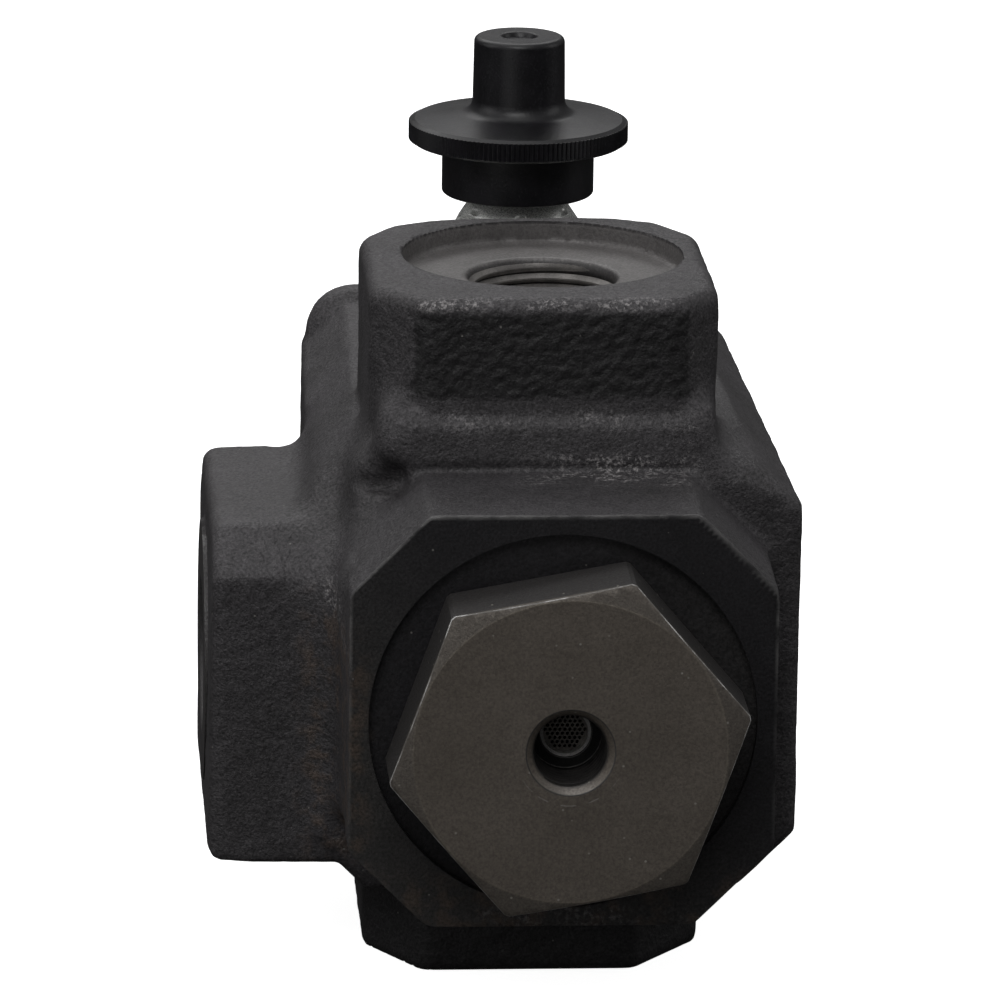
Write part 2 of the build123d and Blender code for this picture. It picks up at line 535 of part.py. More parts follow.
barrel_r = SLEEVE_INNER_R - RUN_GAP
with BuildPart() as throttle_stem:
    with BuildSketch(Plane.YZ):
        Polygon(*up_throttle([
            (0, BARREL_BORE_TOP_Z), (BARREL_BORE_R, BARREL_BORE_TOP_Z),
            (BARREL_BORE_R, BARREL_BOTTOM_Z), (barrel_r, BARREL_BOTTOM_Z),
            (barrel_r, BARREL_TOP_Z), (SHAFT_R, BARREL_TOP_Z),
            (SHAFT_R, SHAFT_TOP_Z), (0, SHAFT_TOP_Z),
        ]), align=None)
    revolve(axis=throttle_axis())
    for start_turn, slot_height in METER_STEPS:
        with BuildSketch(radial_plane(start_turn)):
            with Locations(((BARREL_BORE_R + barrel_r) / 2, LINK_Z)):
                Rectangle(barrel_r - BARREL_BORE_R + 1, slot_height)
        revolve(axis=throttle_axis(), revolution_arc=METER_STEP_TURN, mode=Mode.SUBTRACT)
    with BuildSketch(radial_plane(STOP_START)):
        with Locations(((STOP_GROOVE_R + barrel_r + 1) / 2, STOP_Z)):
            Rectangle(barrel_r + 1 - STOP_GROOVE_R, STOP_GROOVE_HEIGHT)
    revolve(axis=throttle_axis(), revolution_arc=STOP_SPAN, mode=Mode.SUBTRACT)
save(throttle_stem, "throttle_stem")

with BuildPart() as thrust_washer:
    with BuildSketch(Plane.XY.offset(THRUST_Z)):
        with Locations((0, KNOB_Y)):
            Circle(THRUST_R)
            Circle(GLAND_HOLE_R, mode=Mode.SUBTRACT)
    extrude(amount=THRUST_THICK)
save(thrust_washer, "thrust_washer")

# ---- bonnet, seals and gland nut

bonnet_shank_r = BONNET_BORE_R - THREAD_GAP
bonnet_hex_bottom, bonnet_hex_top = BONNET_HEX_Z
with BuildPart() as throttle_bonnet:
    with BuildSketch(Plane.XY.offset(bonnet_hex_bottom)):
        with Locations((0, KNOB_Y)):
            RegularPolygon(BONNET_FLATS / 2, 6, major_radius=False)
    extrude(amount=bonnet_hex_top - bonnet_hex_bottom)
    with BuildSketch(Plane.YZ):
        Polygon(*up_throttle([
            (0, bonnet_hex_bottom), (BONNET_FLATS, bonnet_hex_bottom),
            (BONNET_FLATS, bonnet_hex_top - BONNET_FLATS / 4), (BONNET_FLATS / 2, bonnet_hex_top),
            (0, bonnet_hex_top),
        ]), align=None)
    revolve(axis=throttle_axis(), mode=Mode.INTERSECT)
    with BuildSketch(Plane.YZ):
        Polygon(*up_throttle([
            (BONNET_BORE_CLEAR_R, BONNET_NOSE_Z), (BONNET_NOSE_R, BONNET_NOSE_Z),
            (BONNET_NOSE_R, BONNET_THREAD_END_Z), (bonnet_shank_r, BONNET_THREAD_END_Z),
            (bonnet_shank_r, BONNET_BOSS_Z - BONNET_NECK_LENGTH),
            (BONNET_NECK_R, BONNET_BOSS_Z - BONNET_NECK_LENGTH), (BONNET_NECK_R, BONNET_BOSS_Z),
            (BONNET_FACE_R, BONNET_BOSS_Z), (BONNET_FACE_R, bonnet_hex_bottom),
            (BONNET_SPIGOT_R, bonnet_hex_bottom), (BONNET_SPIGOT_R, BONNET_SPIGOT_Z),
            (BONNET_BORE_CLEAR_R, BONNET_SPIGOT_Z),
        ]), align=None)
    revolve(axis=throttle_axis())
    with BuildSketch(Plane.XY.offset(BONNET_NOSE_Z)):
        with Locations((0, KNOB_Y)):
            Circle(BONNET_BORE_CLEAR_R)
    extrude(amount=BONNET_SPIGOT_Z - BONNET_NOSE_Z, mode=Mode.SUBTRACT)
    with BuildSketch(Plane.XY.offset(PACKING_Z)):
        with Locations((0, KNOB_Y)):
            Circle(PACKING_R)
    extrude(amount=BONNET_SPIGOT_Z - PACKING_Z, mode=Mode.SUBTRACT)
save(throttle_bonnet, "throttle_bonnet")

with BuildPart() as bonnet_o_ring:
    with Locations((0, KNOB_Y, BONNET_BOSS_Z - BONNET_NECK_LENGTH / 2)):
        Torus(BONNET_RING_R, BONNET_RING_SECTION_R)
save(bonnet_o_ring, "bonnet_o_ring")

with BuildPart() as stem_o_ring:
    with Locations((0, KNOB_Y, (PACKING_Z + BACKUP_Z) / 2)):
        Torus(STEM_RING_R, STEM_RING_SECTION_R)
save(stem_o_ring, "stem_o_ring")

with BuildPart() as stem_backup_ring:
    with BuildSketch(Plane.XY.offset(BACKUP_Z)):
        with Locations((0, KNOB_Y)):
            Circle(PACKING_R - THREAD_GAP)
            Circle(GLAND_HOLE_R, mode=Mode.SUBTRACT)
    extrude(amount=BACKUP_THICK)
save(stem_backup_ring, "stem_backup_ring")

gland_bottom, gland_top = GLAND_Z
with BuildPart() as gland_nut:
    with BuildSketch(Plane.XY.offset(gland_bottom)):
        with Locations((0, KNOB_Y)):
            RegularPolygon(GLAND_FLATS / 2, 6, major_radius=False)
    extrude(amount=gland_top - gland_bottom)
    with BuildSketch(Plane.YZ):
        Polygon(*up_throttle([
            (0, gland_bottom), (GLAND_FLATS, gland_bottom), (GLAND_FLATS, gland_top - GLAND_CONE_DROP),
            (GLAND_FLATS / sin(radians(60)) / 2, gland_top - GLAND_CONE_DROP),
            (GLAND_TOP_R, gland_top), (0, gland_top),
        ]), align=None)
    revolve(axis=throttle_axis(), mode=Mode.INTERSECT)
    with BuildSketch(Plane.YZ):
        Polygon(*up_throttle([
            (0, gland_bottom), (BONNET_SPIGOT_R + THREAD_GAP, gland_bottom),
            (BONNET_SPIGOT_R + THREAD_GAP, GLAND_ROOF_Z), (PACKING_R - THREAD_GAP, GLAND_ROOF_Z),
            (PACKING_R - THREAD_GAP, GLAND_PUSH_Z), (GLAND_HOLE_R, GLAND_PUSH_Z),
            (GLAND_HOLE_R, gland_top), (0, gland_top),
        ]), align=None)
    revolve(axis=throttle_axis(), mode=Mode.SUBTRACT)
save(gland_nut, "gland_nut")

# ---- knob

with BuildPart() as friction_washer:
    with BuildSketch(Plane.XY.offset(FRICTION_Z)):
        with Locations((0, KNOB_Y)):
            Circle(FRICTION_R)
            Circle(GLAND_HOLE_R, mode=Mode.SUBTRACT)
    extrude(amount=FRICTION_THICK)
save(friction_washer, "friction_washer")

disc_bottom, disc_top = KNOB_DISC_Z
knurl_root_r = KNOB_DISC_R - KNURL_DEPTH
with BuildPart() as adjusting_knob:
    with BuildSketch(Plane.YZ) as knob_section:
        Polygon(*up_throttle([
            (0, KNOB_SKIRT_Z), (KNOB_SKIRT_R, KNOB_SKIRT_Z), (KNOB_SKIRT_R, disc_bottom),
            (knurl_root_r - KNURL_RIM, disc_bottom), (knurl_root_r, disc_bottom + KNURL_RIM),
            (knurl_root_r, disc_top - KNURL_RIM), (KNOB_RIM_R, disc_top),
            (KNOB_STUB_R, disc_top + KNOB_CROWN), (KNOB_STUB_TOP_R, KNOB_TOP_Z),
            (DIMPLE_R, KNOB_TOP_Z), (DIMPLE_R - DIMPLE_DEPTH / 2, KNOB_TOP_Z - DIMPLE_DEPTH),
            (0, KNOB_TOP_Z - DIMPLE_DEPTH),
        ]), align=None)
        rounded = [
            (KNOB_STUB_R, disc_top + KNOB_CROWN, KNOB_STUB_FILLET),
            (KNOB_STUB_TOP_R, KNOB_TOP_Z, KNOB_TOP_FILLET),
            (DIMPLE_R, KNOB_TOP_Z, KNOB_EDGE_FILLET),
            (KNOB_SKIRT_R, KNOB_SKIRT_Z, KNOB_EDGE_FILLET),
        ]
        for corner_r, corner_z, fillet_r in rounded:
            corner = (KNOB_Y + corner_r, corner_z)
            fillet(knob_section.vertices().sort_by_distance(corner)[0], fillet_r)
    revolve(axis=throttle_axis())
    with BuildSketch(Plane.XY.offset(disc_bottom + KNURL_RIM)):
        rib_points = []
        for step in range(2 * KNURL_RIBS):
            angle = pi * step / KNURL_RIBS
            radius = KNOB_DISC_R if step % 2 else knurl_root_r - RUN_GAP
            rib_points.append((radius * cos(angle), KNOB_Y + radius * sin(angle)))
        Polygon(*rib_points, align=None)
        with Locations((0, KNOB_Y)):
            Circle(KNOB_SKIRT_R, mode=Mode.SUBTRACT)
    extrude(amount=disc_top - disc_bottom - 2 * KNURL_RIM)
    with BuildSketch(Plane.XY.offset(KNOB_SKIRT_Z)):
        with Locations((0, KNOB_Y)):
            Circle(INSERT_R + THREAD_GAP / 2)
    extrude(amount=INSERT_TOP_Z - KNOB_SKIRT_Z, mode=Mode.SUBTRACT)
    for turn in SET_SCREW_TURNS:
        with BuildSketch(outward_plane(turn, SHAFT_R, SET_SCREW_Z)):
            Circle(SET_SCREW_R + RUN_GAP)
        extrude(amount=KNOB_SKIRT_R, mode=Mode.SUBTRACT)
save(adjusting_knob, "adjusting_knob")

with BuildPart() as knob_insert:
    with BuildSketch(Plane.XY.offset(KNOB_SKIRT_Z)):
        with Locations((0, KNOB_Y)):
            Circle(INSERT_R)
            Circle(INSERT_BORE_R, mode=Mode.SUBTRACT)
    extrude(amount=SHAFT_TOP_Z - KNOB_SKIRT_Z)
    for turn in SET_SCREW_TURNS:
        with BuildSketch(outward_plane(turn, 0, SET_SCREW_Z)):
            Circle(SET_SCREW_R + RUN_GAP)
        extrude(amount=KNOB_SKIRT_R, mode=Mode.SUBTRACT)
save(knob_insert, "knob_insert")

screw_inner, screw_outer = SET_SCREW_REACH
with BuildPart() as knob_set_screws:
    for turn in SET_SCREW_TURNS:
        with BuildSketch(outward_plane(turn, screw_inner, SET_SCREW_Z)):
            Circle(SET_SCREW_R)
        extrude(amount=screw_outer - screw_inner)
        with BuildSketch(outward_plane(turn, screw_outer, SET_SCREW_Z)):
            RegularPolygon(SET_SCREW_SOCKET / 2, 6, major_radius=False)
        extrude(amount=-SET_SCREW_SOCKET_DEPTH, mode=Mode.SUBTRACT)
save(knob_set_screws, "knob_set_screws")
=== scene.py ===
import json
import math

import bmesh
import bpy
import numpy as np
from mathutils import Matrix, Vector, noise


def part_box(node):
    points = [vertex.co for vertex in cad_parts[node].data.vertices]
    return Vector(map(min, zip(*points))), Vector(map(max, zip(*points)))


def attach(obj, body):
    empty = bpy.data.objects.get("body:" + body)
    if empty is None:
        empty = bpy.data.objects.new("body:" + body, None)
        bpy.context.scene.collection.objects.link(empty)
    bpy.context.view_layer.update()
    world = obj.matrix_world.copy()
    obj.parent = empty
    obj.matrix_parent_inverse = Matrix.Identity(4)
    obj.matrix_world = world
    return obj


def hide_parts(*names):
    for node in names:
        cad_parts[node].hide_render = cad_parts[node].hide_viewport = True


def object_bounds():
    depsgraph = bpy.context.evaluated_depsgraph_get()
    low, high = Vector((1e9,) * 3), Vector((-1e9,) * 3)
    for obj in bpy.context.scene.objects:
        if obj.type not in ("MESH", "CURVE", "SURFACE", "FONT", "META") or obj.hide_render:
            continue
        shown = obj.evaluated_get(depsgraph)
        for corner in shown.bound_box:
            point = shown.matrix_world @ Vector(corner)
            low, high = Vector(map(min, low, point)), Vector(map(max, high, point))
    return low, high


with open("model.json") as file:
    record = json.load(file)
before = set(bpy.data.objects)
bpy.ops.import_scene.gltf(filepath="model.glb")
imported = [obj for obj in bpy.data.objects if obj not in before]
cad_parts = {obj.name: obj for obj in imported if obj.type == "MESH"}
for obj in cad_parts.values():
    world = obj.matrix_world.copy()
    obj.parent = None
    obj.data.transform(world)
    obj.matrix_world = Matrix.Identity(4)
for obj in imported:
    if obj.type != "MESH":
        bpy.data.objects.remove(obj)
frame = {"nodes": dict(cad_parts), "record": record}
CAD_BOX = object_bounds()
nodes = frame["nodes"]
MM = 0.001

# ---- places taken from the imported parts, in millimetres

BODY_LOW, BODY_HIGH = (np.array(c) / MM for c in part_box("valve_body"))
PLUG_FRONT_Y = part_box("compensator_plug")[0][1] / MM
KNOB_LOW, KNOB_HIGH = (np.array(c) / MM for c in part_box("adjusting_knob"))
mounts = {m["name"]: m for m in frame["record"]["mounts"]}
BORE_Z = mounts["pilot_port"]["pos_m"][2] / MM
SIDE_Z = mounts["side_port"]["pos_m"][2] / MM
KNOB_Y = (KNOB_LOW[1] + KNOB_HIGH[1]) / 2
FRONT_Y, TOP_Z, SIDE_X = BODY_LOW[1], BODY_HIGH[2], BODY_LOW[0]
PORT_R = mounts["top_port"]["dims"]["r_mm"]

# ---- machined zones of the casting, in millimetres

FRONT_SPOT_R, TOP_SPOT_R, SIDE_PAD_R, PORT_LIP_R = 31.35, 23.25, 22.5, PORT_R + 0.6
TOP_SPOT_Z = mounts["top_port"]["pos_m"][2] / MM
FRONT_SPOT_Y, MAIN_BORE_R, MAIN_BORE_END_Y = -50.0, 21.0, 45.1
SIDE_PORT_END_X, SIDE_PAD_DEPTH = -20.0, 0.7
BONNET_SPOT_R = 15.0
SKIN = 0.1  # how far outside a machined surface a point still belongs to it
HEX_FACE_R, HEX_FACE_DEPTH = 25.0, 0.9
PILOT_R = mounts["pilot_port"]["dims"]["r_mm"]
PILOT_SEAT_R, SCRATCH_R = PILOT_R + 1.2, PILOT_R + 2.9

# ---- zones of the cast skin: (low, high, softness) along X, Y and Z in millimetres, None for no limit

PLINTH_FOOT = (None, (-40.0, -10.0, 5.0), (86.0, 98.0, 4.0))
LEFT_CORNER = ((-38.0, -30.0, 3.0), (-42.0, -8.0, 4.0), (64.0, 88.0, 4.0))
LEFT_JUNCTION = ((-42.0, -31.0, 3.0), (-48.0, -26.0, 4.0), (32.0, 80.0, 6.0))
JUNCTION_TOP = (None, None, (58.0, 80.0, 4.0))
LEFT_BOSS_TOP = ((-42.0, -36.5, 3.0), (-34.0, 30.0, 4.0), (70.0, 82.0, 4.0))
ROUGH_BOSS_FRONT = (None, (-40.0, -31.0, 1.5), (99.0, 112.0, 2.5))
# The next two zones paint shade: a darker skin with painted shade of its rough relief on the top boss
# front, and a painted shadow under the octagon's overhang.
BOSS_FRONT_SHADE = (None, (-40.0, -31.5, 0.8), (98.5, 111.6, 1.0))
UNDERSIDE_SHADOW = (None, None, (0.0, 13.0, 2.0))
# The shoulder and shelf get scuff specks and a painted highlight on their convex roundings.
SHOULDER = ((-14.0, 24.0, 6.0), (-40.0, -31.0, 1.0), (93.8, 95.6, 1.6))
SHELF = ((0.0, 18.0, 8.0), (-42.0, -34.0, 1.0), (86.0, 88.2, 1.4))
# Painted highlight, broken into specks, along the rounded top edge of the boss front.
BOSS_RIM_HIGHLIGHT = (None, (-40.0, -30.9, 0.5), (112.9, 113.9, 0.6))
FRONT_FOOT = ((-12.0, 18.0, 8.0), (-60.0, -50.0, 1.0), (17.0, 19.5, 1.5))
# Painted light over a shaded crease at the casting's front left corner.
CORNER_PAINTED_LIGHT = ((-37.0, -34.8, 1.0), (-60.0, -33.0, 1.0), (62.5, 67.0, 2.5))
LEFT_STAIN = ((-39.0, -34.0, 4.0), (-60.0, -28.0, 2.0), (24.0, 60.0, 8.0))
FOOT_STAIN = (None, (-60.0, -45.0, 2.0), (15.0, 22.0, 5.0))
# soft dents and swellings: centre, reach along X, Y and Z, height
SWELLINGS = (
    ((-29.6, -33.0, 82.8), (5.0, 4.5, 1.9), -1.3),
    ((-37.0, -44.0, 70.0), (3.2, 5.0, 10.0), 1.8),
)
QUICK_DEPTH, FULL_DEPTH, REMESH_SCALE = 7, 8, 0.8
SHARP_EDGE_ANGLE, CRISP_SHADING_ANGLE = 25.0, 50.0
# passes of smoothing
MACHINED_PASSES, CAST_PASSES, FLOW_PASSES = 4, 6, 90
FRONT_LINE_PASSES, SPOT_RIM_PASSES, SPOT_CORNER_PASSES = 8, 3, 9
EDGE_BREAK, EDGE_BREAK_ANGLE = 0.22, 45.0


# ---- mesh helpers

def coords(mesh):
    """Vertex positions as an (n, 3) array, in millimetres."""
    flat = np.empty(len(mesh.vertices) * 3, np.float64)
    mesh.vertices.foreach_get("co", flat)
    return flat.reshape(-1, 3) / MM


def set_coords(mesh, points):
    mesh.vertices.foreach_set("co", (points * MM).astype(np.float32).ravel())
    mesh.update()


def edge_pairs(mesh):
    flat = np.empty(len(mesh.edges) * 2, np.int32)
    mesh.edges.foreach_get("vertices", flat)
    return flat.reshape(-1, 2)


def normals(mesh):
    flat = np.empty(len(mesh.vertices) * 3, np.float32)
    mesh.vertex_normals.foreach_get("vector", flat)
    return flat.reshape(-1, 3)


def smoothed(points, pairs, weight, steps):
    """Laplacian smoothing; weight is each vertex's share of the move, from 0 to 1."""
    count = len(points)
    ends = np.concatenate([pairs[:, 0], pairs[:, 1]])
    others = np.concatenate([pairs[:, 1], pairs[:, 0]])
    degree = np.maximum(np.bincount(ends, minlength=count), 1)
    for _ in range(steps):
        mean = np.stack(
            [np.bincount(ends, points[others, k], count) / degree for k in range(points.shape[1])], 1
        )
        points = points + (mean - points) * weight[:, None] * 0.5
    return points


def band(values, low, high, soft):
    """1 between low and high, falling to 0 over the soft distance outside them."""
    return np.clip((values - low) / soft + 1.0, 0, 1) * np.clip((high - values) / soft + 1.0, 0, 1)


def in_zone(points, zone):
    """1 inside the zone's box, falling to 0 over its softness outside it."""
    share = np.ones(len(points))
    for values, limits in zip(points.T, zone):
        if limits:
            share = share * band(values, *limits)
    return share


def fractal(points, scale, octaves, seed):
    """Smooth noise about -1 to 1 at each point, with features about scale millimetres across."""
    shift = Vector((seed * 17.3, seed * -9.1, seed * 4.7))
    return np.array([
        noise.fractal(Vector(p) / scale + shift, 0.9, 2.1, octaves) for p in points
    ])


def dense_copy(node, name, depth, scale):
    """A new object with the CAD node's shape, in even small quads that keep its sharp edges."""
    piece = bpy.data.objects.new(name, nodes[node].data.copy())
    bpy.context.scene.collection.objects.link(piece)
    remesh = piece.modifiers.new("quads", "REMESH")
    remesh.mode = "SHARP"
    remesh.octree_depth = depth
    remesh.scale = scale
    remesh.use_remove_disconnected = False
    graph = bpy.context.evaluated_depsgraph_get()
    mesh = bpy.data.meshes.new_from_object(piece.evaluated_get(graph))
    piece.modifiers.clear()
    piece.data = mesh
    mesh.name = name
    mesh.materials.clear()
    return piece


def refine(mesh, wanted):
    """Split in four each face whose centre, in millimetres, passes the test."""
    shape = bmesh.new()
    shape.from_mesh(mesh)
    edges = {e for f in shape.faces if wanted(f.calc_center_median() / MM) for e in f.edges}
    bmesh.ops.subdivide_edges(shape, edges=list(edges), cuts=1, use_grid_fill=True)
    shape.to_mesh(mesh)
    shape.free()


def sharp_points(mesh, angle):
    """Whether each vertex lies on an edge sharper than the angle, in degrees."""
    shape = bmesh.new()
    shape.from_mesh(mesh)
    found = np.zeros(len(mesh.vertices), bool)
    for edge in shape.edges:
        if not edge.is_manifold or edge.calc_face_angle() > math.radians(angle):
            found[[v.index for v in edge.verts]] = True
    shape.free()
    return found


def break_edges(mesh, wanted, width, angle):
    """Bevel the sharp outer edges between wanted points, and mark the new points as the lip."""
    shape = bmesh.new()
    shape.from_mesh(mesh)
    shape.verts.ensure_lookup_table()
    lip = shape.verts.layers.float.new("lip")
    sharp = [
        e for e in shape.edges
        if e.is_manifold and wanted[e.verts[0].index] and wanted[e.verts[1].index]
        and e.calc_face_angle_signed() > math.radians(angle)
    ]
    made = bmesh.ops.bevel(shape, geom=sharp, offset=width * MM, offset_type="OFFSET", segments=2,
                           profile=0.5, affect="EDGES", clamp_overlap=False)
    for face in made["faces"]:
        for vert in face.verts:
            vert[lip] = 1.0
    shape.to_mesh(mesh)
    shape.free()


def shade(piece, angle):
    """Smooth shading, with edges sharper than the angle kept crisp."""
    mesh = piece.data
    mesh.polygons.foreach_set("use_smooth", [True] * len(mesh.polygons))
    mesh.set_sharp_from_angle(angle=math.radians(angle))


def paint(mesh, name, values):
    """Store one number for each vertex, for the material to read."""
    layer = mesh.attributes.new(name, "FLOAT", "POINT")
    layer.data.foreach_set("value", np.clip(values, 0, 1).astype(np.float32))


def new_mesh(name, verts, faces, body, material):
    mesh = bpy.data.meshes.new(name)
    mesh.from_pydata([tuple(v * MM for v in p) for p in verts], [], faces)
    mesh.update()
    piece = bpy.data.objects.new(name, mesh)
    bpy.context.scene.collection.objects.link(piece)
    mesh.materials.append(material)
    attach(piece, body)
    return piece


# ---- materials

class Tree:
    """A small helper for writing a node material in a few lines."""

    def __init__(self, name):
        self.material = bpy.data.materials.new(name)
        self.material.use_nodes = True
        self.nodes = self.material.node_tree.nodes
        self.links = self.material.node_tree.links
        self.shader = self.nodes["Principled BSDF"]
        self.place = self.add("ShaderNodeTexCoord").outputs["Object"]

    def add(self, kind, inputs=None, **settings):
        node = self.nodes.new(kind)
        for key, value in settings.items():
            setattr(node, key, value)
        for key, value in (inputs or {}).items():
            self.put(node.inputs[key], value)
        return node

    def put(self, socket, value):
        if isinstance(value, bpy.types.NodeSocket):
            self.links.new(value, socket)
        else:
            socket.default_value = value

    def vector(self, operation, a, b):
        return self.add("ShaderNodeVectorMath", {0: a, 1: b}, operation=operation)

    def noise(self, size_mm, detail=3.0, rough=0.55, stretch=None):
        where = self.vector("MULTIPLY", self.place, stretch).outputs[0] if stretch else self.place
        inputs = {"Vector": where, "Scale": 1000.0 / size_mm, "Detail": detail, "Roughness": rough}
        return self.add("ShaderNodeTexNoise", inputs).outputs["Fac"]

    def specks(self, spacing_mm, radius_mm, share):
        """Small round dots, scattered on the given share of cells of the given size."""
        cells = self.add("ShaderNodeTexVoronoi", {"Vector": self.place, "Scale": 1000.0 / spacing_mm})
        dot = self.remap(cells.outputs["Distance"], radius_mm / spacing_mm, 0.5 * radius_mm / spacing_mm)
        pick = self.add("ShaderNodeSeparateColor", {0: cells.outputs["Color"]}).outputs[0]
        return self.math("MULTIPLY", dot, self.math("LESS_THAN", pick, share))

    def along(self, axis):
        """The object's X, Y or Z coordinate (0, 1 or 2), in millimetres."""
        parts = self.add("ShaderNodeSeparateXYZ", {0: self.place})
        return self.math("DIVIDE", parts.outputs[axis], MM)

    def radius(self, centre_mm, keep):
        """Distance in millimetres from an axis through the centre; keep zeroes the axis direction."""
        centre = tuple(c * MM for c in centre_mm)
        flat = self.vector("MULTIPLY", self.vector("SUBTRACT", self.place, centre).outputs[0], keep)
        length = self.vector("LENGTH", flat.outputs[0], (0, 0, 0)).outputs["Value"]
        return self.math("DIVIDE", length, MM)

    def ramp(self, fac, stops):
        node = self.add("ShaderNodeValToRGB", {"Fac": fac})
        while len(node.color_ramp.elements) < len(stops):
            node.color_ramp.elements.new(0.5)
        for element, (at, colour) in zip(node.color_ramp.elements, stops):
            element.position = at
            level = colour if isinstance(colour, tuple) else (colour,) * 3
            element.color = (*level, 1.0)
        return node.outputs["Color"]

    def mix(self, fac, a, b):
        node = self.add("ShaderNodeMix", data_type="RGBA")
        for key, value in ((0, fac), (6, a), (7, b)):
            if isinstance(value, tuple):
                value = (*value, 1.0)
            self.put(node.inputs[key], value)
        return node.outputs[2]

    def scale(self, colour, factor):
        node = self.add("ShaderNodeVectorMath", {0: colour, "Scale": factor}, operation="SCALE")
        return node.outputs[0]

    def math(self, operation, a, b=0.0):
        return self.add("ShaderNodeMath", {0: a, 1: b}, operation=operation).outputs[0]

    def remap(self, value, low, high, to_low=0.0, to_high=1.0):
        inputs = {"Value": value, "From Min": low, "From Max": high, "To Min": to_low, "To Max": to_high}
        return self.add("ShaderNodeMapRange", inputs).outputs["Result"]

    def layer(self, name):
        return self.add("ShaderNodeAttribute", attribute_name=name).outputs["Fac"]

    def bump(self, height, distance_mm, strength=1.0):
        inputs = {"Height": height, "Distance": distance_mm * MM, "Strength": strength}
        return self.add("ShaderNodeBump", inputs).outputs["Normal"]

    def finish(self, colour, rough, normal=None, **fixed):
        self.put(self.shader.inputs["Base Color"], (*colour, 1.0) if isinstance(colour, tuple) else colour)
        self.put(self.shader.inputs["Roughness"], rough)
        if normal is not None:
            self.put(self.shader.inputs["Normal"], normal)
        for key, value in fixed.items():
            self.shader.inputs[key.replace("_", " ")].default_value = value
        return self.material


def cast_iron_material():
    """Black phosphated casting: sandy where as cast, fine tool marks where machined."""
    t = Tree("cast_iron")
    cast, bare, front_tone_and_painted_light = t.layer("cast"), t.layer("bare"), t.layer("front_tone_and_painted_light")
    cloud = t.noise(18.0, 3.0, 0.5)
    blotch = t.noise(3.4, 3.0, 0.6)
    grain = t.noise(0.5, 2.0, 0.7)
    dust = t.noise(0.8, 3.0, 0.75)
    skin = t.ramp(cloud, [(0.3, (0.050, 0.047, 0.049)), (0.7, (0.064, 0.060, 0.064))])
    # painted shade: the dark layer darkens the top boss front and the bottom boss under the octagon's
    # overhang
    skin = t.mix(t.layer("dark"), skin, (0.022, 0.021, 0.022))
    # On the octagon face the flat colour is lighter towards the lower left. In the front spotface ring it
    # is painted light on the right and a painted shadow of the hex plug on the left.
    flat = t.mix(front_tone_and_painted_light, (0.021, 0.020, 0.022), (0.043, 0.041, 0.040))
    flat = t.mix(bare, flat, (0.135, 0.128, 0.126))
    colour = t.mix(t.layer("shade"), t.mix(cast, flat, skin), (0.010, 0.009, 0.009))
    rust = t.math("MULTIPLY", t.layer("rust"), t.remap(blotch, 0.46, 0.62))
    colour = t.mix(t.math("MULTIPLY", rust, 0.5), colour, (0.105, 0.072, 0.05))
    colour = t.scale(colour, t.remap(blotch, 0.3, 0.7, 0.87, 1.13))
    spread = t.remap(bare, 0.0, 0.5, 0.5, 0.2)
    light = t.math("ADD", 1.0, t.math("MULTIPLY", spread, t.remap(grain, 0.32, 0.68, -1.0, 1.0)))
    colour = t.scale(colour, light)
    # pale scuff specks, which also paint highlights on the shoulder, shelf and boss rim and paint light
    # over the front left corner crease
    patch = t.remap(t.noise(5.0, 2.0, 0.5, (0.5, 1.0, 1.0)), 0.42, 0.6, 0.1, 1.0)
    scuff_and_painted_light = t.math("MULTIPLY", t.math("MULTIPLY", t.layer("wear_and_painted_light"), patch), t.remap(dust, 0.5, 0.66))
    colour = t.mix(scuff_and_painted_light, colour, (0.44, 0.42, 0.42))
    colour = t.mix(t.specks(3.1, 0.22, 0.3), colour, (0.21, 0.20, 0.19))
    colour = t.mix(t.specks(9.0, 0.3, 0.35), colour, (0.24, 0.14, 0.08))
    # The octagon's edge bevels brighten in stretches: edge wear, with a painted highlight that grows
    # towards the upper edges.
    rubbed_and_highlit = t.remap(t.noise(6.0, 3.0, 0.6), 0.4, 0.6, 0.1, 0.9)
    rubbed_and_highlit = t.math("MULTIPLY", rubbed_and_highlit, t.remap(t.along(2), BORE_Z - 5.0, BORE_Z + 20.0, 0.25, 1.0))
    colour = t.mix(t.math("MULTIPLY", t.layer("lip"), rubbed_and_highlit), colour, (0.16, 0.156, 0.155))
    rough = t.math("ADD", t.remap(cast, 0.0, 1.0, 0.42, 0.56), t.remap(grain, 0.3, 0.7, 0.08, -0.06))
    sand = t.math("ADD", t.math("MULTIPLY", grain, 0.55), t.noise(1.7, 3.0, 0.6))
    height = t.mix(cast, t.math("MULTIPLY", grain, 0.3), sand)
    normal = t.bump(height, 0.34)
    return t.finish(colour, rough, normal, Metallic=0.2)


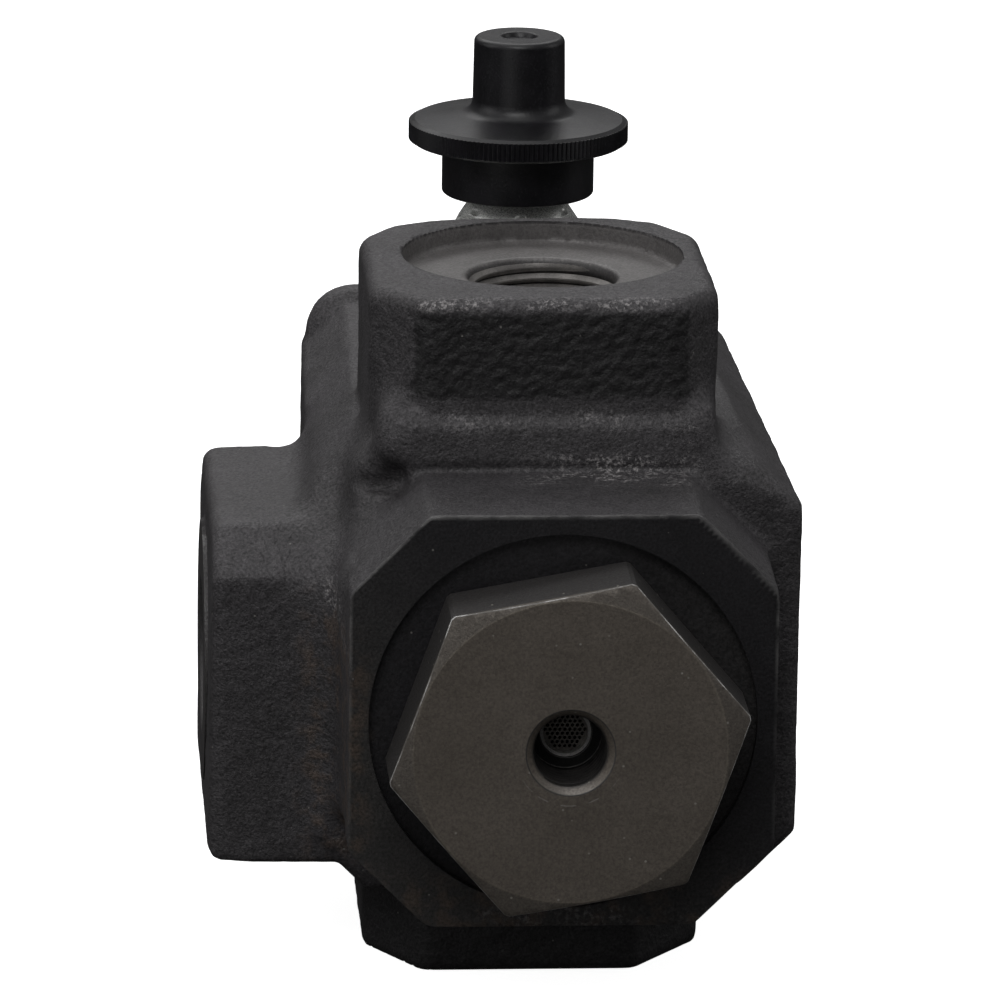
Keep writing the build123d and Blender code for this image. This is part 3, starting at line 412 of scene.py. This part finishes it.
def plug_steel_material():
    """Machined steel bar under a thin brown oxide, darker on the hex flats than on the end face."""
    t = Tree("plug_steel")
    wide = t.noise(12.0, 3.0, 0.6)
    grain = t.noise(0.4, 3.0, 0.7)
    outer = t.radius((0.0, 0.0, BORE_Z), (1, 0, 1))
    flank = t.remap(t.along(1), PLUG_FRONT_Y + HEX_FACE_DEPTH - 0.1, PLUG_FRONT_Y + HEX_FACE_DEPTH + 0.3)
    colour = t.ramp(wide, [(0.3, (0.150, 0.130, 0.109)), (0.7, (0.185, 0.161, 0.137))])
    colour = t.mix(t.remap(outer, HEX_FACE_R, HEX_FACE_R + 0.4, 0.0, 0.5), colour, (0.124, 0.113, 0.102))
    ring = t.math("MULTIPLY", t.remap(outer, HEX_FACE_R - 0.25, HEX_FACE_R),
                  t.remap(outer, HEX_FACE_R + 0.25, HEX_FACE_R))
    colour = t.mix(t.math("MULTIPLY", ring, t.remap(wide, 0.4, 0.6, 0.0, 0.4)), colour, (0.3, 0.27, 0.22))
    colour = t.mix(flank, colour, (0.046, 0.043, 0.042))
    scratch = t.math("MULTIPLY", t.remap(outer, SCRATCH_R - 0.13, SCRATCH_R),
                     t.remap(outer, SCRATCH_R + 0.13, SCRATCH_R))
    low = t.remap(t.along(2), BORE_Z - 3.0, BORE_Z - 7.0)
    scratch = t.math("MULTIPLY", scratch, t.math("MULTIPLY", low, t.remap(t.noise(2.2), 0.5, 0.56)))
    colour = t.mix(scratch, colour, (0.34, 0.32, 0.3))
    # painted highlight on the lower crescent of the pilot seat, where the chamfer faces up
    seat = t.math("MULTIPLY", t.remap(outer, PILOT_SEAT_R + 0.3, PILOT_SEAT_R - 0.3), low)
    colour = t.mix(t.math("MULTIPLY", seat, 0.3), colour, (0.3, 0.295, 0.29))
    # painted shade deep inside the pilot bore
    deep = t.remap(t.along(1), PLUG_FRONT_Y + 2.0, PLUG_FRONT_Y + 7.0)
    bore = t.math("MULTIPLY", deep, t.remap(outer, PILOT_SEAT_R, PILOT_SEAT_R - 0.5))
    colour = t.mix(bore, colour, (0.008, 0.008, 0.008))
    colour = t.scale(colour, t.remap(grain, 0.3, 0.7, 0.68, 1.32))
    colour = t.mix(t.specks(2.6, 0.24, 0.75), colour, (0.4, 0.38, 0.34))
    rough = t.remap(grain, 0.3, 0.7, 0.56, 0.42)
    normal = t.bump(t.math("ADD", grain, t.noise(1.6, 3.0)), 0.05)
    return t.finish(colour, rough, normal, Metallic=0.45)


def edge_wear_and_highlight_material(name, dull, bright):
    """Edge metal: the oxide is abraded through to bright steel in short stretches, with a painted
    highlight making them brighter towards the upper edges.
    """
    t = Tree(name)
    grain = t.noise(0.5, 3.0, 0.7)
    # painted highlight: the bright stretches grow stronger towards the top
    high = t.remap(t.along(2), BORE_Z - 25.0, BORE_Z + 20.0, 0.3, 1.0)
    rubbed_and_highlit = t.math("MULTIPLY", high, t.remap(t.noise(5.0, 4.0, 0.65), 0.44, 0.6))
    outer = t.radius((0.0, 0.0, BORE_Z), (1, 0, 1))
    colour = t.mix(rubbed_and_highlit, dull, bright)
    colour = t.mix(t.remap(outer, PILOT_SEAT_R + 3.0, PILOT_SEAT_R + 2.0), colour, (0.06, 0.057, 0.053))
    colour = t.scale(colour, t.remap(grain, 0.3, 0.7, 0.7, 1.2))
    return t.finish(colour, t.remap(grain, 0.3, 0.7, 0.45, 0.3), t.bump(grain, 0.03), Metallic=0.0)


def knob_material():
    """Black moulded plastic with a satin gloss and faint handling dust."""
    t = Tree("black_phenolic")
    cloud = t.noise(6.0, 3.0, 0.6)
    fine = t.noise(0.4, 3.0, 0.6)
    colour = t.ramp(cloud, [(0.3, (0.004, 0.004, 0.005)), (0.7, (0.009, 0.008, 0.011))])
    colour = t.mix(t.remap(fine, 0.58, 0.7, 0.0, 0.22), colour, (0.07, 0.07, 0.078))
    rough = t.math("ADD", t.remap(cloud, 0.3, 0.7, 0.34, 0.44), t.remap(fine, 0.3, 0.7, -0.04, 0.06))
    return t.finish(colour, rough, t.bump(fine, 0.03), Metallic=0.0)


def metal_material(name, dark, light, low, high, metallic=1.0, stretch=(1.0, 1.0, 3.0)):
    """Plain metal with fine grain, soft colour clouds and a varied gloss."""
    t = Tree(name)
    grain = t.noise(0.35, 3.0, 0.6, stretch)
    colour = t.mix(t.remap(t.noise(4.0, 3.0, 0.6), 0.3, 0.7), dark, light)
    colour = t.scale(colour, t.remap(grain, 0.3, 0.5, 0.6, 1.0))
    return t.finish(colour, t.remap(grain, 0.3, 0.7, low, high), t.bump(grain, 0.02), Metallic=metallic)


def soft_material(name, dark, light, rough):
    """Rubber or low-friction plastic with a fine moulded texture."""
    t = Tree(name)
    fine = t.noise(0.25, 3.0, 0.6)
    colour = t.mix(t.remap(t.noise(3.0, 3.0, 0.6), 0.3, 0.7), dark, light)
    return t.finish(colour, t.remap(fine, 0.3, 0.7, rough - 0.08, rough + 0.08), t.bump(fine, 0.02))


MATERIALS = {
    "cast_iron": cast_iron_material(),
    "plug_steel": plug_steel_material(),
    "black_phenolic": knob_material(),
    "nitrile": soft_material("nitrile", (0.012, 0.012, 0.013), (0.025, 0.025, 0.027), 0.55),
    "white_ptfe": soft_material("white_ptfe", (0.72, 0.71, 0.68), (0.85, 0.85, 0.83), 0.4),
    "screen_bronze": metal_material(
        "screen_bronze", (0.14, 0.13, 0.12), (0.26, 0.245, 0.22), 0.35, 0.5, 0.4),
    "bright_steel": metal_material(
        "bright_steel", (0.42, 0.41, 0.4), (0.6, 0.59, 0.57), 0.25, 0.4, 0.3),
    "ground_steel": metal_material("ground_steel", (0.3, 0.3, 0.31), (0.45, 0.45, 0.46), 0.18, 0.3),
    "spring_steel": metal_material("spring_steel", (0.07, 0.07, 0.075), (0.16, 0.155, 0.15), 0.3, 0.45),
    "zinc_plate": metal_material("zinc_plate", (0.7, 0.71, 0.68), (0.9, 0.91, 0.88), 0.2, 0.36, 0.35),
    "orifice_brass": metal_material("orifice_brass", (0.5, 0.36, 0.14), (0.68, 0.52, 0.24), 0.22, 0.36),
}
THREAD_METAL = metal_material(
    "thread_metal", (0.15, 0.142, 0.138), (0.3, 0.285, 0.27), 0.3, 0.5, 0.4)
# a darker copy of the thread metal: painted shade for the thread deep in the pilot port
PILOT_SHADED_METAL = metal_material(
    "pilot_thread_shaded_metal", (0.02, 0.019, 0.019), (0.05, 0.047, 0.045), 0.3, 0.5, 0.4)
PLUG_EDGE = edge_wear_and_highlight_material("plug_edge", (0.15, 0.14, 0.128), (0.62, 0.61, 0.6))

for part in frame["record"]["subparts"]:
    cad = nodes[part["node"]]
    cad.data.materials.clear()
    cad.data.materials.append(MATERIALS[part["material_slot"]])

# ---- casting: dense mesh, cast skin rounded and roughened, machined faces kept crisp


def is_machined(points):
    """Which points of the casting lie on a machined surface."""
    x, y, z = points.T
    main_r, port_r = np.hypot(x, z - BORE_Z), np.hypot(x, y)
    side_r, knob_r = np.hypot(y, z - SIDE_Z), np.hypot(x, y - KNOB_Y)
    return (
        (y < FRONT_Y + SKIN)
        | ((main_r < FRONT_SPOT_R + SKIN) & (y < FRONT_SPOT_Y))
        | ((main_r < MAIN_BORE_R) & (y < MAIN_BORE_END_Y))
        | ((port_r < TOP_SPOT_R + SKIN) & (z > TOP_SPOT_Z - SKIN))
        | (port_r < PORT_LIP_R)
        | ((side_r < PORT_LIP_R) & (x < SIDE_PORT_END_X))
        | ((side_r < SIDE_PAD_R + SKIN) & (x < SIDE_X + SIDE_PAD_DEPTH))
        | (knob_r < BONNET_SPOT_R)
        | (z < SKIN)
    )


def flow_weight(points):
    """Share of the long smoothing that each point of the cast skin takes: the corners that flow."""
    foot_ends = np.clip((np.abs(points[:, 0] + 1.0) - 22.0) / 5.0, 0, 1)
    junction = in_zone(points, LEFT_JUNCTION) * (0.6 + 0.4 * in_zone(points, JUNCTION_TOP))
    return np.maximum.reduce([
        in_zone(points, PLINTH_FOOT) * foot_ends,
        in_zone(points, LEFT_CORNER),
        junction,
        in_zone(points, LEFT_BOSS_TOP),
    ])


def swelling(points, centre, reach, height):
    """A soft round swelling, or a dent if the height is negative, in millimetres at each point."""
    away = (points - np.array(centre)) / np.array(reach)
    return height * np.exp(-(away ** 2).sum(1))


def cast_relief(points):
    """Height of the sand-cast skin above the smoothed shape, in millimetres."""
    x, y, z = points.T
    slant = math.radians(32.0)
    along = 0.8 * (x * math.cos(slant) + z * math.sin(slant))
    across = z * math.cos(slant) - x * math.sin(slant)
    lumps = fractal(np.stack([along, y, across], 1), 1.25, 2, 5)
    return (
        0.05 * fractal(points, 1.8, 2, 1)
        + 0.13 * fractal(points, 8.0, 2, 2)
        + 0.10 * fractal(points, 28.0, 2, 3)
        + 0.24 * in_zone(points, ROUGH_BOSS_FRONT) * lumps
        + sum(swelling(points, *place) for place in SWELLINGS)
        - 0.05
    )


def on_boss_front(centre):
    """Whether a place on the casting needs finer quads, for the rough front of the top boss."""
    return centre.y < -30.0 and centre.z > 96.0 and abs(centre.x) < 27.0


remesh_depth = FULL_DEPTH
casting = dense_copy("valve_body", "body_casting", remesh_depth, REMESH_SCALE)
refine(casting.data, on_boss_front)
points = coords(casting.data)
pairs = edge_pairs(casting.data)
machined = is_machined(points)
cast = np.where(machined, 0.0, 1.0)
edge = sharp_points(casting.data, SHARP_EDGE_ANGLE)
points = smoothed(points, pairs, np.where(machined & ~edge, 1.0, 0.0), MACHINED_PASSES)
points = smoothed(points, pairs, cast, CAST_PASSES)
points = smoothed(points, pairs, cast * flow_weight(points), FLOW_PASSES)
main_r = np.hypot(points[:, 0], points[:, 2] - BORE_Z)
front_line = edge & (points[:, 1] < FRONT_Y + 0.5) & (main_r > FRONT_SPOT_R + 0.5)
points = smoothed(points, pairs[front_line[pairs].all(1)], 1.0 * front_line, FRONT_LINE_PASSES)
points[front_line, 1] = FRONT_Y
from_spot = np.abs(np.hypot(points[:, 0], points[:, 1]) - TOP_SPOT_R)
spot_rim = (from_spot < 0.9) & (points[:, 2] > TOP_Z - 0.9)
spot_corner = (from_spot < 1.5) & (np.abs(points[:, 2] - TOP_SPOT_Z) < 1.5)
points = smoothed(points, pairs, 1.0 * spot_rim, SPOT_RIM_PASSES)
points = smoothed(points, pairs, 1.0 * spot_corner, SPOT_CORNER_PASSES)
set_coords(casting.data, points)

# the skin's relief stays off the machined faces and the walls inside the main bore
inside = (np.abs(points[:, 0]) < 33.0) & (np.abs(points[:, 2] - BORE_Z) < 31.0)
inside &= (points[:, 1] > -55.0) & (points[:, 1] < 80.0)
skin = np.nonzero(~machined & ~inside)[0]
away = normals(casting.data)[skin]
points[skin] += away * cast_relief(points[skin])[:, None]
points = np.clip(points, BODY_LOW, BODY_HIGH)
set_coords(casting.data, points)
main_r = np.hypot(points[:, 0], points[:, 2] - BORE_Z)
on_octagon = (points[:, 1] < FRONT_Y + SKIN) & (main_r > FRONT_SPOT_R + 0.5)
break_edges(casting.data, on_octagon, EDGE_BREAK, EDGE_BREAK_ANGLE)

# layers for the material: how cast, bare or rusty each point is, the front faces' tone, scuffs with
# painted highlights and painted light, and painted shade in the dark and shade layers
points = coords(casting.data)
x, y, z = points.T
pairs = edge_pairs(casting.data)
machined = is_machined(points)
cast = smoothed(np.where(machined, 0.0, 1.0)[:, None], pairs, np.ones(len(points)), 1)[:, 0]
port_r, side_r = np.hypot(x, y), np.hypot(y, z - SIDE_Z)
spot_wall = (port_r < TOP_SPOT_R + 0.3) & (z > TOP_SPOT_Z + 0.5) & machined
spot_floor = (port_r < TOP_SPOT_R + 0.3) & (z > TOP_SPOT_Z - 0.7) & ~spot_wall & machined
bare = 1.0 * spot_wall + 0.45 * spot_floor + 0.35 * (x < SIDE_X + 1.0) + 0.35 * (z < SKIN)
# painted shade on the top boss front and painted shadow on the bottom boss under the octagon
dark = in_zone(points, BOSS_FRONT_SHADE) + in_zone(points, UNDERSIDE_SHADOW) * (y < -15.0)
# painted shade inside the top and side port bores
shade_in = (port_r < PORT_R + 0.3) & ((z < TOP_SPOT_Z - 0.7) & (z > 0.7))
shade_in |= (side_r < PORT_R + 0.3) & (x > SIDE_X + 1.7) & (x < SIDE_PORT_END_X)
# Octagon face: lighter towards the lower left. Front spotface ring: painted light on the right side, and a
# painted shadow of the hex plug on the left.
front_tone_and_painted_light = np.clip((15.0 - x) / 50.0 + (BORE_Z - z) / 45.0, 0, 1) * (y < FRONT_Y + 1.0)
front_tone_and_painted_light += 0.7 * np.clip(x / 30.0, 0, 1) * (y > FRONT_Y + 1.0) * (y < FRONT_SPOT_Y)
# scuff specks, with painted highlights on the convex shoulder, shelf and boss rim, and painted light in
# the front left corner crease
wear_and_painted_light = (
    0.5 * in_zone(points, SHOULDER)
    + 0.9 * in_zone(points, SHELF)
    + 0.8 * in_zone(points, BOSS_RIM_HIGHLIGHT)
    + 0.3 * in_zone(points, FRONT_FOOT)
    + 0.7 * in_zone(points, CORNER_PAINTED_LIGHT)
)
rust = in_zone(points, LEFT_STAIN) + 0.7 * in_zone(points, FOOT_STAIN)
for name, values in (("cast", cast), ("bare", bare), ("dark", dark), ("front_tone_and_painted_light", front_tone_and_painted_light),
                     ("shade", 1.0 * shade_in), ("wear_and_painted_light", wear_and_painted_light), ("rust", rust)):
    paint(casting.data, name, values)
casting.data.materials.append(MATERIALS["cast_iron"])
shade(casting, CRISP_SHADING_ANGLE)
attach(casting, "housing")
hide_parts("valve_body")


# ---- threads: a helical ridge standing on each tapped wall

def thread(name, mount, pitch, height, turns_in, material):
    """Helical ridge on the wall of a tapped mount, starting just inside its mouth."""
    wall = mounts[mount]["dims"]["r_mm"]
    length = mounts[mount]["dims"]["length_mm"] - turns_in
    out = Vector(mounts[mount]["axis"])
    start = Vector(mounts[mount]["pos_m"]) / MM + out * 0.5
    side = out.orthogonal().normalized()
    across = out.cross(side)
    steps = 96
    count = int(length / pitch * steps)
    # four corners of the ridge: height off the wall, place along the pitch
    profile = ((0.06, -0.47), (-height, -0.07), (-height, 0.07), (0.06, 0.47))
    verts, faces = [], []
    for i in range(count + 1):
        turn = 2 * math.pi * i / steps
        run = min(1.0, i / (steps / 3), (count - i) / (steps / 3))
        ray = side * math.cos(turn) + across * math.sin(turn)
        for rise, offset in profile:
            depth = pitch * (i / steps + offset + 0.5)
            radius = wall + (rise if rise > 0 else rise * run)
            verts.append(tuple(start - out * depth + ray * radius))
        if i:
            a, b = 4 * (i - 1), 4 * i
            faces += [(a + k, a + (k + 1) % 4, b + (k + 1) % 4, b + k) for k in range(4)]
    faces += [(0, 1, 2, 3), tuple(4 * count + k for k in (3, 2, 1, 0))]
    shade(new_mesh(name, verts, faces, "housing", material), 40.0)


for port in ("top_port", "bottom_port", "side_port"):
    thread(port + "_thread", port, 1.814, 0.85, 1.0, THREAD_METAL)
thread("pilot_port_thread", "pilot_port", 1.411, 0.3, 2.0, PILOT_SHADED_METAL)

# ---- small edge breaks on the CAD nodes that stay

nodes["compensator_plug"].data.materials.append(PLUG_EDGE)
EDGE_WIDTHS = {"compensator_plug": 0.13, "gland_nut": 0.25, "throttle_bonnet": 0.3}
for name, width in EDGE_WIDTHS.items():
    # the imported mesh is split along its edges, so it is welded first
    weld = nodes[name].modifiers.new("seams", "WELD")
    weld.merge_threshold = 0.001 * MM
    bevel = nodes[name].modifiers.new("edge_break", "BEVEL")
    bevel.width = width * MM
    bevel.segments = 2
    bevel.use_clamp_overlap = False
    bevel.harden_normals = True
    bevel.limit_method = "ANGLE"
    bevel.angle_limit = math.radians(32.0)
    bevel.material = len(nodes[name].data.materials) - 1

# ---- camera at the photograph's view

CAMERA_AIM = Vector((-9.7, -45.1, 84.3)) * MM
CAMERA_DISTANCE = 1.2
CAMERA_TURN, CAMERA_HEIGHT, CAMERA_ROLL = (math.radians(a) for a in (-4.012, 15.456, 0.778))
camera = bpy.data.objects.new("camera", bpy.data.cameras.new("camera"))
bpy.context.scene.collection.objects.link(camera)
facing = (
    Matrix.Rotation(CAMERA_TURN, 4, "Z")
    @ Matrix.Rotation(math.pi / 2 - CAMERA_HEIGHT, 4, "X")
    @ Matrix.Rotation(CAMERA_ROLL, 4, "Z")
)
camera.matrix_world = Matrix.Translation(CAMERA_AIM) @ facing @ Matrix.Translation((0, 0, CAMERA_DISTANCE))
camera.data.sensor_width = 36.0
camera.data.lens = 268.1
camera.data.clip_start = 0.05
camera.data.clip_end = 30.0
bpy.context.scene.camera = camera

# ---- pale floor and soft studio light

FLOOR_HALF, FLOOR_GAP = 6.0, 0.0001
floor_tree = Tree("floor_white")
floor_shade = floor_tree.ramp(floor_tree.noise(400.0, 2.0), [(0.3, 0.86), (0.7, 0.88)])
floor_material = floor_tree.finish(floor_shade, 0.9, Emission_Color=(1, 1, 1, 1), Emission_Strength=0.92)
floor_mesh = bpy.data.meshes.new("floor")
floor_mesh.from_pydata(
    [(-FLOOR_HALF, -FLOOR_HALF, 0), (FLOOR_HALF, -FLOOR_HALF, 0),
     (FLOOR_HALF, FLOOR_HALF, 0), (-FLOOR_HALF, FLOOR_HALF, 0)], [], [(0, 1, 2, 3)])
floor = bpy.data.objects.new("floor", floor_mesh)
floor.location.z = CAD_BOX[0].z - FLOOR_GAP
bpy.context.scene.collection.objects.link(floor)
floor_mesh.materials.append(floor_material)
floor.visible_diffuse = False
floor.visible_glossy = False

LIGHT_AIM = Vector((0, 0, 0.06))
# name: place, width and height in metres, watts
LIGHTS = {
    "back_light": ((-0.15, 0.95, 1.05), (1.3, 0.8), 5.6),
    "top_light": ((-0.15, -0.05, 1.4), (1.2, 1.0), 3.0),
    "high_front_light": ((-0.2, -1.0, 1.15), (0.9, 0.6), 5.6),
    "left_light": ((-1.1, -0.1, 0.6), (0.7, 0.8), 2.0),
    "front_light": ((-0.45, -0.75, 0.12), (0.5, 0.3), 0.4),
    "right_light": ((1.1, 0.1, 0.5), (0.5, 0.8), 1.2),
}
for name, (place, size, watts) in LIGHTS.items():
    lamp = bpy.data.lights.new(name, "AREA")
    lamp.shape = "RECTANGLE"
    lamp.size, lamp.size_y = size
    lamp.energy = watts
    light = bpy.data.objects.new(name, lamp)
    light.location = place
    light.rotation_mode = "QUATERNION"
    light.rotation_quaternion = (Vector(place) - LIGHT_AIM).to_track_quat("Z", "Y")
    bpy.context.scene.collection.objects.link(light)

world = bpy.data.worlds.new("studio")
bpy.context.scene.world = world
world.use_nodes = True
sky = world.node_tree
direction = sky.nodes.new("ShaderNodeTexCoord")
height = sky.nodes.new("ShaderNodeSeparateXYZ")
glow = sky.nodes.new("ShaderNodeMapRange")
sky.links.new(direction.outputs["Generated"], height.inputs[0])
sky.links.new(height.outputs["Z"], glow.inputs["Value"])
for key, value in (("From Min", -0.15), ("From Max", 0.6), ("To Min", 0.02), ("To Max", 0.22)):
    glow.inputs[key].default_value = value
background = sky.nodes["Background"]
background.inputs["Color"].default_value = (1, 1, 1, 1)
sky.links.new(glow.outputs["Result"], background.inputs["Strength"])

scene = bpy.context.scene
scene.view_settings.view_transform = "Standard"
scene.view_settings.look = "None"
